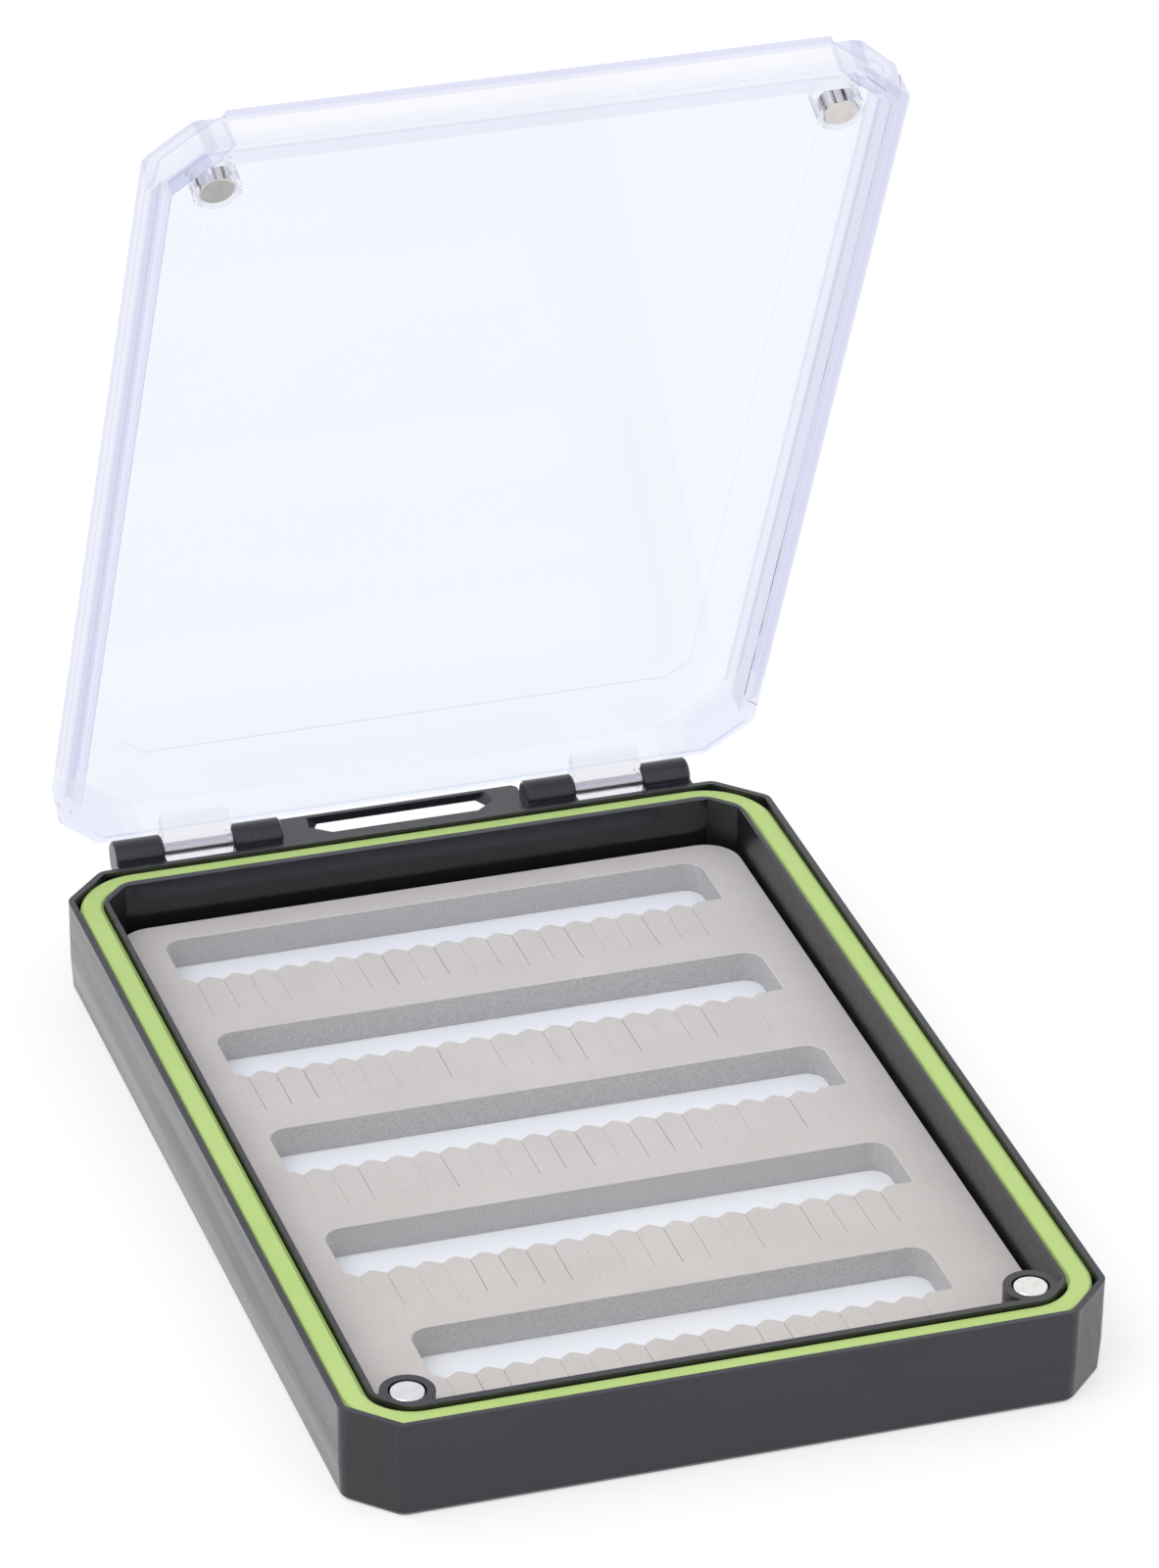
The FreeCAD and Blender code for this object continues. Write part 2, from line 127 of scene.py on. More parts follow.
# Noise textures: scale per metre, then detail and roughness where they differ from those of Nodes.noise
TRAY_CLOUD_NOISE = (60.0, 3.0)
TRAY_WEAR_NOISE = (900.0, 2.0)
TRAY_SMUDGE_NOISE = (60.0, 2.0)
TRAY_GRAIN_NOISE = (5200.0, 2.0)
SEAL_CLOUD_NOISE = (45.0, 3.0)
SEAL_SPECK_NOISE = (1800.0, 2.0)
FOAM_CLOUD_NOISE = (90.0, 4.0, 0.6)
FOAM_PORE_NOISE = (3200.0, 3.0, 0.65)
FOAM_CUT_NOISE = (3400.0, 3.0, 0.7)
FOAM_GRAIN_NOISE = (1500.0, 4.0, 0.7)
BACKING_CLOUD_NOISE = (70.0, 3.0)
BACKING_WEAR_NOISE = (1200.0,)
MAGNET_CLOUD_NOISE = (700.0, 3.0)
MAGNET_SCUFF_NOISE = (2500.0, 3.0)
# The next noise lays out the painted reflection streaks on the lid magnets' sides
MAGNET_REFLECTION_STREAK_NOISE = (850.0, 3.0, 0.6)
PIN_LINE_NOISE = (1500.0,)
LID_HAZE_NOISE = (25.0, 2.0)
LID_WEAR_NOISE = (400.0,)

# How noise is drawn out along the axes
TRAY_SMUDGE_STRETCH = (0.2, 0.2, 4.0)
PIN_LINE_STRETCH = (6.0, 0.3, 0.3)

# Bumps: strength and depth
TRAY_GRAIN_BUMP = (0.06, 0.02 * MM)
SEAL_SPECK_BUMP = (0.12, 0.05 * MM)
FOAM_GRAIN_BUMP = (0.35, 0.12 * MM)

# Stops of colour or roughness along a noise: place and value
TRAY_OUTSIDE_COLOUR = ((0.3, (0.0108, 0.0101, 0.0155)), (0.7, (0.016, 0.015, 0.0212)))
TRAY_INSIDE_COLOUR = ((0.3, (0.009, 0.009, 0.010)), (0.7, (0.012, 0.012, 0.013)))
TRAY_FINE_ROUGHNESS = ((0.3, 0.0), (0.7, 0.04))
TRAY_SMUDGE_ROUGHNESS = ((0.35, 0.15), (0.65, 0.30))
TRAY_INSIDE_END_ROUGHNESS = ((0.3, 0.13), (0.7, 0.19))
TRAY_INSIDE_SIDE_ROUGHNESS = ((0.3, 0.36), (0.7, 0.44))
SEAL_COLOUR = ((0.3, (0.485, 0.665, 0.21)), (0.7, (0.53, 0.705, 0.245)))
SEAL_ROUGHNESS = ((0.3, 0.5), (0.7, 0.62))
FOAM_COLOUR = ((0.25, (0.59, 0.555, 0.54)), (0.75, (0.65, 0.615, 0.60)))
# Upright cut faces of the foam: greyer with their own pores as cut foam, and darker as painted shade
FOAM_CUT_AND_SHADE_COLOUR = ((0.34, (0.42, 0.41, 0.415)), (0.64, (0.57, 0.56, 0.565)))
BACKING_COLOUR = ((0.3, (0.90, 0.92, 0.985)), (0.7, (0.93, 0.95, 1.0)))
BACKING_ROUGHNESS = ((0.3, 0.45), (0.7, 0.55))
MAGNET_COLOUR = ((0.3, (0.76, 0.75, 0.73)), (0.7, (0.86, 0.85, 0.83)))
MAGNET_ROUGHNESS = ((0.3, 0.16), (0.7, 0.26))
# Side colours of the lid magnets: dark and bright streaks painted as reflections of the surroundings
LID_MAGNET_SIDE_PAINTED_REFLECTION = ((0.40, (0.10, 0.10, 0.10)), (0.47, (0.72, 0.71, 0.69)), (0.6, (0.92, 0.91, 0.89)))
LID_MAGNET_FACE_COLOUR = ((0.3, (0.60, 0.58, 0.56)), (0.7, (0.70, 0.68, 0.66)))
PIN_COLOUR = ((0.3, (0.70, 0.70, 0.71)), (0.7, (0.76, 0.76, 0.77)))
PIN_ROUGHNESS = ((0.3, 0.28), (0.7, 0.33))
LID_PLATE_TINT = ((0.3, (0.875, 0.905, 0.965)), (0.7, (0.885, 0.915, 0.975)))
LID_ROUGHNESS = ((0.35, 0.0), (0.7, 0.025))

# Stops along other values: pores of the foam, rise of its normals, depth in the lid's rim, turn from the eye
FOAM_PORE_STOPS = ((0.36, 0.0), (0.47, 1.0))
# Mask of the upright faces, which take the cut colour with its painted shade
FOAM_CUT_AND_SHADE_STOPS = ((0.1, 1.0), (0.2, 0.0))
# Where the painted highlight lies on the foam's rounded edges
FOAM_EDGE_HIGHLIGHT_STOPS = ((0.75, 1.0), (0.95, 0.0))
# Rim colour by depth: lilac, with lighter and darker bands painted in place of the light and shade that
# refraction through the rim's faces gives
LID_RIM_PAINTED_BANDS = ((0.0, (0.86, 0.88, 0.95)), (0.06, (0.86, 0.88, 0.95)), (0.1, (0.65, 0.66, 0.81)),
                (0.31, (0.65, 0.66, 0.81)), (0.35, (0.77, 0.79, 0.92)), (0.58, (0.77, 0.79, 0.92)),
                (0.62, (0.64, 0.655, 0.78)), (0.68, (0.67, 0.69, 0.84)))
LID_PLATE_STOPS = ((0.68, 0.0), (0.72, 1.0))
# Magnet tubes: pale, turning grey where they turn away from the eye, a painted outline in place of
# refraction at their edges
LID_TUBE_PAINTED_OUTLINE = ((0.45, (0.93, 0.93, 0.95)), (0.8, (0.42, 0.42, 0.45)))

# Plain colours
FOAM_PORE_COLOUR = (0.555, 0.52, 0.505)
# Paler colour on the foam's rounded edges: a painted highlight
FOAM_EDGE_PAINTED_HIGHLIGHT = (0.70, 0.68, 0.66)
LID_FRONT_WALL_TINT = (0.935, 0.94, 0.975)
LID_HINGE_CORNER_TINT = (0.83, 0.85, 0.94)
LID_BARREL_TINT = (0.86, 0.86, 0.89)
LID_LIP_TINT = (0.74, 0.75, 0.90)

# Sockets whose value is the same all over a surface
TRAY_SHADER = {
    "IOR": 1.5,
    "Specular Tint": (0.90, 0.89, 1.0, 1.0),
    "Coat Weight": 0.27,
    "Coat Roughness": 0.12,
}
SEAL_SHADER = {
    "Subsurface Weight": 0.15,
    "Subsurface Radius": (0.8 * MM, 1.0 * MM, 0.4 * MM),
    "Subsurface Scale": 1.0,
}
FOAM_SHADER = {"Roughness": 0.85, "Sheen Weight": 0.08}
METAL_SHADER = {"Metallic": 1.0}
LID_MAGNET_SHADER = {"Metallic": 1.0, "Roughness": 0.2}
LID_SHADER = {"Transmission Weight": 1.0, "IOR": LID_IOR, "Coat Roughness": 0.08}
LID_PASSING_LIGHT = {"Color": (0.97, 0.97, 0.985, 1.0)}
LID_ABSORPTION = {"Color": (0.72, 0.70, 0.84, 1.0), "Density": 25.0}
FLOOR_SHADER = {"Base Color": (0.9, 0.9, 0.9, 1.0), "Roughness": 0.9}

# Stage
FLOOR_SIZE = 6.0
FLOOR_DROP = 0.05 * MM
FLOOR_WHITE = 1.2
FLOOR_GLOW_SHARE = 0.5
WORLD_COLOUR = (1.0, 1.0, 1.0, 1.0)
WORLD_DIFFUSE = 0.82
LAMP_SIZE = 1.1
LAMP_POWER = 7.0
LAMP_PLACE = (-0.75, -0.35, 1.35)


def add_camera():
    """Camera that looks from the photograph's side, with the photograph's slight roll."""
    azimuth = math.radians(CAMERA_AZIMUTH)
    elevation = math.radians(CAMERA_ELEVATION)
    roll = math.radians(CAMERA_ROLL)
    back = Vector((math.sin(azimuth) * math.cos(elevation),
                   -math.cos(azimuth) * math.cos(elevation), math.sin(elevation)))
    level = (-back).cross(Vector((0, 0, 1))).normalized()
    upright = level.cross(-back)
    right = level * math.cos(roll) + upright * math.sin(roll)
    up = upright * math.cos(roll) - level * math.sin(roll)
    place = Vector(CAMERA_TARGET) + back * CAMERA_DISTANCE
    data = bpy.data.cameras.new("camera")
    data.sensor_fit = "HORIZONTAL"
    data.sensor_width = CAMERA_SENSOR
    data.lens = CAMERA_LENS
    data.clip_start, data.clip_end = CAMERA_CLIP
    camera = bpy.data.objects.new("camera", data)
    turn = Matrix((right, up, back)).transposed().to_4x4()
    camera.matrix_world = Matrix.Translation(place) @ turn
    bpy.context.scene.collection.objects.link(camera)
    bpy.context.scene.camera = camera


def add_lamp():
    """One large soft lamp that looks at the object from the upper left."""
    data = bpy.data.lights.new("softbox", "AREA")
    data.shape = "SQUARE"
    data.size = LAMP_SIZE
    data.energy = LAMP_POWER
    lamp = bpy.data.objects.new("softbox", data)
    lamp.location = LAMP_PLACE
    lamp.rotation_mode = "QUATERNION"
    lamp.rotation_quaternion = (-Vector(LAMP_PLACE)).to_track_quat("-Z", "Y")
    bpy.context.scene.collection.objects.link(lamp)


def set_values(node, values):
    """Set sockets of a node, given by name."""
    for name, value in values.items():
        node.inputs[name].default_value = value


class Nodes:
    """A short way to write a node tree."""

    def __init__(self, tree):
        self.tree = tree

    def add(self, kind, **values):
        node = self.tree.nodes.new(kind)
        for name, value in values.items():
            setattr(node, name, value)
        return node

    def link(self, source, target):
        self.tree.links.new(source, target)

    def math(self, operation, first, second=None):
        """One operation on one or two sockets or numbers."""
        node = self.add("ShaderNodeMath", operation=operation)
        for index, value in enumerate((first, second)):
            if value is None:
                continue
            if isinstance(value, (int, float)):
                node.inputs[index].default_value = value
            else:
                self.link(value, node.inputs[index])
        return node.outputs[0]

    def split(self, vector):
        """The three parts of a vector."""
        node = self.add("ShaderNodeSeparateXYZ")
        self.link(vector, node.inputs[0])
        return node.outputs

    def stretch(self, vector, scale):
        """A vector multiplied by a scale for each axis."""
        node = self.add("ShaderNodeMapping")
        node.inputs["Scale"].default_value = scale
        self.link(vector, node.inputs["Vector"])
        return node.outputs[0]

    def noise(self, vector, scale, detail=2.0, roughness=0.5):
        node = self.add("ShaderNodeTexNoise")
        set_values(node, {"Scale": scale, "Detail": detail, "Roughness": roughness})
        self.link(vector, node.inputs["Vector"])
        return node.outputs["Fac"]

    def ramp(self, value, *stops):
        """Colour ramp with stops of (place, colour or grey)."""
        node = self.add("ShaderNodeValToRGB")
        elements = node.color_ramp.elements
        while len(elements) < len(stops):
            elements.new(1.0)
        for element, (place, colour) in zip(elements, stops):
            element.position = place
            if isinstance(colour, (int, float)):
                colour = (colour, colour, colour)
            element.color = (*colour, 1.0)
        self.link(value, node.inputs[0])
        return node.outputs[0]

    def mix(self, factor, first, second):
        node = self.add("ShaderNodeMix", data_type="RGBA")
        self.link(factor, node.inputs[0])
        for index, value in ((6, first), (7, second)):
            if isinstance(value, tuple):
                node.inputs[index].default_value = (*value, 1.0)
            else:
                self.link(value, node.inputs[index])
        return node.outputs[2]

    def bump(self, height, strength, distance, normal=None):
        node = self.add("ShaderNodeBump")
        set_values(node, {"Strength": strength, "Distance": distance})
        self.link(height, node.inputs["Height"])
        if normal is not None:
            self.link(normal, node.inputs["Normal"])
        return node.outputs[0]


def new_material(name, values):
    """A material with these shader values: returns it, its nodes, the shader and the object coordinates."""
    material = bpy.data.materials.new(name)
    material.use_nodes = True
    nodes = Nodes(material.node_tree)
    shader = material.node_tree.nodes["Principled BSDF"]
    set_values(shader, values)
    place = nodes.add("ShaderNodeTexCoord").outputs["Object"]
    return material, nodes, shader, place


def tray_material():
    """Dark grey moulding with a fine grain; its inner walls are black, glossy at the ends only."""
    material, nodes, shader, place = new_material("tray_plastic_look", TRAY_SHADER)
    parts = nodes.split(place)
    across = nodes.math("ABSOLUTE", parts[0])
    along = nodes.math("ABSOLUTE", parts[1])
    inside = nodes.math("MULTIPLY", nodes.math("LESS_THAN", across, CHANNEL_OUTER_HALF_WIDTH),
                        nodes.math("LESS_THAN", along, CHANNEL_OUTER_HALF_LENGTH))
    facing = nodes.split(nodes.add("ShaderNodeNewGeometry").outputs["True Normal"])
    wall = nodes.math("LESS_THAN", nodes.math("ABSOLUTE", facing[2]), TRAY_WALL_RISE)
    inner_wall = nodes.math("MULTIPLY", inside, wall)
    cloud = nodes.noise(place, *TRAY_CLOUD_NOISE)
    outside_colour = nodes.ramp(cloud, *TRAY_OUTSIDE_COLOUR)
    inside_colour = nodes.ramp(cloud, *TRAY_INSIDE_COLOUR)
    nodes.link(nodes.mix(inner_wall, outside_colour, inside_colour), shader.inputs["Base Color"])
    wear = nodes.noise(place, *TRAY_WEAR_NOISE)
    smudge = nodes.noise(nodes.stretch(place, TRAY_SMUDGE_STRETCH), *TRAY_SMUDGE_NOISE)
    outside_rough = nodes.math("ADD", nodes.ramp(wear, *TRAY_FINE_ROUGHNESS),
                               nodes.ramp(smudge, *TRAY_SMUDGE_ROUGHNESS))
    to_side = nodes.math("GREATER_THAN", nodes.math("ABSOLUTE", facing[0]), TRAY_SIDE_TURN)
    inside_rough = nodes.mix(to_side, nodes.ramp(wear, *TRAY_INSIDE_END_ROUGHNESS),
                             nodes.ramp(wear, *TRAY_INSIDE_SIDE_ROUGHNESS))
    nodes.link(nodes.mix(inner_wall, outside_rough, inside_rough), shader.inputs["Roughness"])
    soft_edge = nodes.add("ShaderNodeBevel", samples=TRAY_EDGE_SAMPLES)
    soft_edge.inputs["Radius"].default_value = TRAY_EDGE_ROUND
    grain = nodes.noise(place, *TRAY_GRAIN_NOISE)
    nodes.link(nodes.bump(grain, *TRAY_GRAIN_BUMP, soft_edge.outputs[0]), shader.inputs["Normal"])
    return material


def seal_material():
    """Lime green silicone, smooth and matt."""
    material, nodes, shader, place = new_material("seal_rubber_look", SEAL_SHADER)
    cloud = nodes.noise(place, *SEAL_CLOUD_NOISE)
    nodes.link(nodes.ramp(cloud, *SEAL_COLOUR), shader.inputs["Base Color"])
    speck = nodes.noise(place, *SEAL_SPECK_NOISE)
    nodes.link(nodes.ramp(speck, *SEAL_ROUGHNESS), shader.inputs["Roughness"])
    nodes.link(nodes.bump(speck, *SEAL_SPECK_BUMP), shader.inputs["Normal"])
    return material


def foam_material():
    """Warm light grey closed-cell foam with fine pores; its upright cut faces are greyer and darker, the
    grey of cut foam with painted shade, and its rounded edges are paler, a painted highlight.
    """
    material, nodes, shader, place = new_material("insert_foam_look", FOAM_SHADER)
    base = nodes.ramp(nodes.noise(place, *FOAM_CLOUD_NOISE), *FOAM_COLOUR)
    between_pores = nodes.ramp(nodes.noise(place, *FOAM_PORE_NOISE), *FOAM_PORE_STOPS)
    speckled = nodes.mix(between_pores, FOAM_PORE_COLOUR, base)
    upward = nodes.split(nodes.add("ShaderNodeNewGeometry").outputs["True Normal"])[2]
    # Upright faces: the grey of cut foam with painted shade
    cut_face_and_shade = nodes.ramp(upward, *FOAM_CUT_AND_SHADE_STOPS)
    # Paler rounded edges: a painted highlight
    rounded = nodes.ramp(upward, *FOAM_EDGE_HIGHLIGHT_STOPS)
    cut_and_shade_colour = nodes.ramp(nodes.noise(place, *FOAM_CUT_NOISE), *FOAM_CUT_AND_SHADE_COLOUR)
    top = nodes.mix(rounded, speckled, FOAM_EDGE_PAINTED_HIGHLIGHT)
    nodes.link(nodes.mix(cut_face_and_shade, top, cut_and_shade_colour), shader.inputs["Base Color"])
    grain = nodes.noise(place, *FOAM_GRAIN_NOISE)
    nodes.link(nodes.bump(grain, *FOAM_GRAIN_BUMP), shader.inputs["Normal"])
    return material


def backing_material():
    """Smooth white sheet with a cool tint."""
    material, nodes, shader, place = new_material("backing_plastic_look", {})
    cloud = nodes.noise(place, *BACKING_CLOUD_NOISE)
    nodes.link(nodes.ramp(cloud, *BACKING_COLOUR), shader.inputs["Base Color"])
    wear = nodes.noise(place, *BACKING_WEAR_NOISE)
    nodes.link(nodes.ramp(wear, *BACKING_ROUGHNESS), shader.inputs["Roughness"])
    return material


def lid_magnet_material():
    """Nickel plating whose sides carry dark and bright streaks along the magnet's axis: painted reflections
    of the surroundings.
    """
    material, nodes, shader, place = new_material("lid_magnet_nickel_look", LID_MAGNET_SHADER)
    parts = nodes.split(turn_closed(nodes, place, frame["joints"][0]["pos_m"]))
    flat = nodes.add("ShaderNodeCombineXYZ")
    nodes.link(parts[0], flat.inputs[0])
    nodes.link(parts[1], flat.inputs[1])
    # The dark and bright streaks on the sides are painted reflections
    sides = nodes.ramp(nodes.noise(flat.outputs[0], *MAGNET_REFLECTION_STREAK_NOISE), *LID_MAGNET_SIDE_PAINTED_REFLECTION)
    faces = nodes.ramp(nodes.noise(place, *MAGNET_CLOUD_NOISE), *LID_MAGNET_FACE_COLOUR)
    normal = nodes.add("ShaderNodeTexCoord").outputs["Normal"]
    upward = nodes.split(turn_closed(nodes, normal, (0, 0, 0)))[2]
    on_face = nodes.math("GREATER_THAN", nodes.math("ABSOLUTE", upward), LID_MAGNET_FACE_RISE)
    nodes.link(nodes.mix(on_face, sides, faces), shader.inputs["Base Color"])
    return material


def magnet_material():
    """Nickel plating with faint scuffs."""
    material, nodes, shader, place = new_material("magnet_nickel_look", METAL_SHADER)
    cloud = nodes.noise(place, *MAGNET_CLOUD_NOISE)
    nodes.link(nodes.ramp(cloud, *MAGNET_COLOUR), shader.inputs["Base Color"])
    scuff = nodes.noise(place, *MAGNET_SCUFF_NOISE)
    nodes.link(nodes.ramp(scuff, *MAGNET_ROUGHNESS), shader.inputs["Roughness"])
    return material


def pin_material():
    """Ground steel, with fine lines round the pin."""
    material, nodes, shader, place = new_material("pin_steel_look", METAL_SHADER)
    line = nodes.noise(nodes.stretch(place, PIN_LINE_STRETCH), *PIN_LINE_NOISE)
    nodes.link(nodes.ramp(line, *PIN_COLOUR), shader.inputs["Base Color"])
    nodes.link(nodes.ramp(line, *PIN_ROUGHNESS), shader.inputs["Roughness"])
    return material


def turn_closed(nodes, vector, centre):
    """Turn a place or a direction on the lid from its rest pose to the closed one."""
    turn = nodes.add("ShaderNodeVectorRotate", rotation_type="X_AXIS")
    set_values(turn, {"Center": centre, "Angle": math.radians(LID_REST_ANGLE)})
    nodes.link(vector, turn.inputs["Vector"])
    return turn.outputs[0]


def in_magnet_tube(nodes, across, along, up):
    """1 on the clear tubes that hold the lid's magnets."""
    aside = nodes.math("SUBTRACT", across, LID_MAGNET_SIDE)
    ahead = nodes.math("ADD", along, LID_MAGNET_FRONT)
    square = nodes.math("ADD", nodes.math("MULTIPLY", aside, aside), nodes.math("MULTIPLY", ahead, ahead))
    near = nodes.math("LESS_THAN", nodes.math("SQRT", square), LID_TUBE_REACH)
    return nodes.math("MULTIPLY", near, nodes.math("LESS_THAN", up, LID_PLATE_UNDERSIDE))


def lid_tint_and_painted_bands(nodes, place):
    """Colour of the clear plastic and a mask that is 1 in the plate: nearly no tint in the plate, lilac in
    the rim with lighter and darker bands painted in place of refraction through its faces, and painted grey
    outlines on the magnet tubes.
    """
    where = turn_closed(nodes, place, frame["joints"][0]["pos_m"])
    across, along, up = nodes.split(where)
    across = nodes.math("ABSOLUTE", across)
    length = nodes.math("ABSOLUTE", along)
    side_depth = nodes.math("SUBTRACT", LID_HALF_WIDTH, across)
    corner_sum = LID_HALF_WIDTH + LID_HALF_LENGTH - LID_CORNER_CUT
    corner_depth = nodes.math("SUBTRACT", corner_sum, nodes.math("ADD", across, length))
    corner_depth = nodes.math("MULTIPLY", corner_depth, math.sqrt(1 / 2))
    depth = nodes.math("DIVIDE", nodes.math("MINIMUM", side_depth, corner_depth), LID_RIM_DEPTH)
    plate = nodes.ramp(nodes.noise(where, *LID_HAZE_NOISE), *LID_PLATE_TINT)
    in_front_wall = nodes.math("LESS_THAN", along, LID_RIM_DEPTH - LID_HALF_LENGTH)
    plate = nodes.mix(in_front_wall, plate, LID_FRONT_WALL_TINT)
    in_plate = nodes.ramp(depth, *LID_PLATE_STOPS)
    # In the rim, lilac bands by depth: painted light and shade standing in for refraction through its faces
    tint = nodes.mix(in_plate, nodes.ramp(depth, *LID_RIM_PAINTED_BANDS), plate)
    in_hinge_corner = nodes.math("MULTIPLY", nodes.math("GREATER_THAN", along, 0.0),
                                 nodes.math("LESS_THAN", corner_depth, LID_RIM_DEPTH))
    tint = nodes.mix(in_hinge_corner, tint, LID_HINGE_CORNER_TINT)
    # Painted outline: the tubes turn grey where they turn away from the eye, standing in for refraction at
    # their silhouettes
    turned_away = nodes.add("ShaderNodeLayerWeight").outputs["Facing"]
    in_tube = in_magnet_tube(nodes, across, along, up)
    tint = nodes.mix(in_tube, tint, nodes.ramp(turned_away, *LID_TUBE_PAINTED_OUTLINE))
    in_barrels = nodes.math("GREATER_THAN", along, LID_HALF_LENGTH)
    tint = nodes.mix(in_barrels, tint, LID_BARREL_TINT)
    in_lip = nodes.math("LESS_THAN", along, -LID_HALF_LENGTH)
    return nodes.mix(in_lip, tint, LID_LIP_TINT), in_plate


def lid_material():
    """Clear polished plastic with a cool tint that deepens in the rim, where lighter and darker lilac bands
    are painted light and shade; lamps reach what is behind it.
    """
    material, nodes, shader, place = new_material("lid_clear_plastic_look", LID_SHADER)
    tint, in_plate = lid_tint_and_painted_bands(nodes, place)
    nodes.link(tint, shader.inputs["Base Color"])
    nodes.link(nodes.math("MULTIPLY", in_plate, LID_COAT), shader.inputs["Coat Weight"])
    wear = nodes.noise(place, *LID_WEAR_NOISE)
    nodes.link(nodes.ramp(wear, *LID_ROUGHNESS), shader.inputs["Roughness"])
    passing = nodes.add("ShaderNodeBsdfTransparent")
    set_values(passing, LID_PASSING_LIGHT)
    chooser = nodes.add("ShaderNodeMixShader")
    nodes.link(nodes.add("ShaderNodeLightPath").outputs["Is Shadow Ray"], chooser.inputs[0])
    nodes.link(shader.outputs[0], chooser.inputs[1])
    nodes.link(passing.outputs[0], chooser.inputs[2])
    volume = nodes.add("ShaderNodeVolumeAbsorption")
    set_values(volume, LID_ABSORPTION)
    output = material.node_tree.nodes["Material Output"]
    nodes.link(chooser.outputs[0], output.inputs["Surface"])
    nodes.link(volume.outputs[0], output.inputs["Volume"])
    return material


def dress(node, material):
    """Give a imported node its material."""
    mesh = frame["nodes"][node].data
    mesh.materials.clear()
    mesh.materials.append(material)


def arc_points(centre, radius, start, end, count):
    """Points along an arc, angles in degrees."""
    points = []
    for index in range(count + 1):
        angle = math.radians(start + (end - start) * index / count)
        points.append((centre[0] + radius * math.cos(angle), centre[1] + radius * math.sin(angle)))
    return points


def lobe_shape():
    """Slope of a lobe's flanks in degrees and radius of its crown.

    The foam's edge is rounded outwards from these points, so they lie inside the foam by that radius.
    """
    half = (LOBE_PITCH - SLIT_WIDTH) / 2 - FOAM_EDGE_ROUND
    radius = LOBE_CROWN_RADIUS - FOAM_EDGE_ROUND
    rise = LOBE_DEPTH - radius
    slope = math.atan2(rise, half) + math.asin(radius / math.hypot(half, rise))
    return math.degrees(slope), radius


def slot_points(index, chance):
    """Outline of one foam slot, with a slit run forward from every valley between the lobes."""
    is_last = index == SLOT_COUNT - 1
    half = (LAST_SLOT_HALF_LENGTH if is_last else SLOT_HALF_LENGTH) + FOAM_EDGE_ROUND
    lobes = LAST_LOBE_COUNT if is_last else LOBE_COUNT
    back = FIRST_SLOT_BACK - SLOT_PITCH * index + FOAM_EDGE_ROUND
    peak = back - SLOT_WIDTH - 2 * FOAM_EDGE_ROUND
    valley = peak - LOBE_DEPTH
    radius = SLOT_CORNER_RADIUS
    foot = SLOT_FRONT_RADIUS
    slope, crown = lobe_shape()
    run = LOBE_DEPTH / math.tan(math.radians(slope))
    first = FIRST_LOBE_INSET + FOAM_EDGE_ROUND - half
    points = arc_points((half - radius, back - radius), radius, 90, 0, CORNER_STEPS)
    points += arc_points((half - foot, peak + foot), foot, 0, -90, SLOT_FRONT_STEPS)
    points.append((first + lobes * LOBE_PITCH + run, peak))
    for lobe in range(lobes, -1, -1):
        x = first + lobe * LOBE_PITCH
        sway = chance.uniform(-SLIT_SWAY, SLIT_SWAY)
        reach = SLIT_LENGTH * chance.uniform(*SLIT_LENGTH_SHARES)
        gap = FOAM_EDGE_ROUND + chance.uniform(*SLIT_GAPS) / 2
        points.append((x + gap, valley))
        points.append((x + sway + gap, valley - reach))
        points.append((x + sway - gap, valley - reach))
        points.append((x - gap, valley))
        if lobe > 0:
            middle = (x - LOBE_PITCH / 2, peak - crown)
            points += arc_points(middle, crown, 90 - slope, 90 + slope, CORNER_STEPS)
    points += arc_points((foot - half, peak + foot), foot, 270, 180, SLOT_FRONT_STEPS)
    points += arc_points((radius - half, back - radius), radius, 180, 90, CORNER_STEPS)
    return points


def foam_outline():
    """Outer outline of the insert, from its packed box, notched for the magnet bosses."""
    low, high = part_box("foam_insert")
    across = high.x - FOAM_EDGE_ROUND
    front = low.y + FOAM_EDGE_ROUND
    back = high.y - FOAM_EDGE_ROUND
    notch_side = NOTCH_SIDE - FOAM_EDGE_ROUND
    notch_back = FOAM_EDGE_ROUND - NOTCH_BACK
    radius = FOAM_CORNER_RADIUS - FOAM_EDGE_ROUND
    centre = (across - radius, back - radius)
    outline = [(notch_side, front), (notch_side, notch_back), (across, notch_back)]
    outline += arc_points(centre, radius, 0, 90, CORNER_STEPS)
    return outline + [(-x, y) for x, y in reversed(outline)]


def flat_curve(name, outlines):
    """A filled flat curve whose first outline holds the others as holes."""
    curve = bpy.data.curves.new(name, "CURVE")
    curve.dimensions = "2D"
    curve.fill_mode = "BOTH"
    for outline in outlines:
        spline = curve.splines.new("POLY")
        spline.points.add(len(outline) - 1)
        for point, (x, y) in zip(spline.points, outline):
            point.co = (x, y, 0, 1)
        spline.use_cyclic_u = True
    return curve


def mesh_from_curve(name, curve):
    """Turn a curve into a mesh object of that name."""
    holder = bpy.data.objects.new(name + "_curve", curve)
    bpy.context.scene.collection.objects.link(holder)
    graph = bpy.context.evaluated_depsgraph_get()
    mesh = bpy.data.meshes.new_from_object(holder.evaluated_get(graph))
    bpy.data.objects.remove(holder)
    bpy.data.curves.remove(curve)
    piece = bpy.data.objects.new(name, mesh)
    bpy.context.scene.collection.objects.link(piece)
    return piece


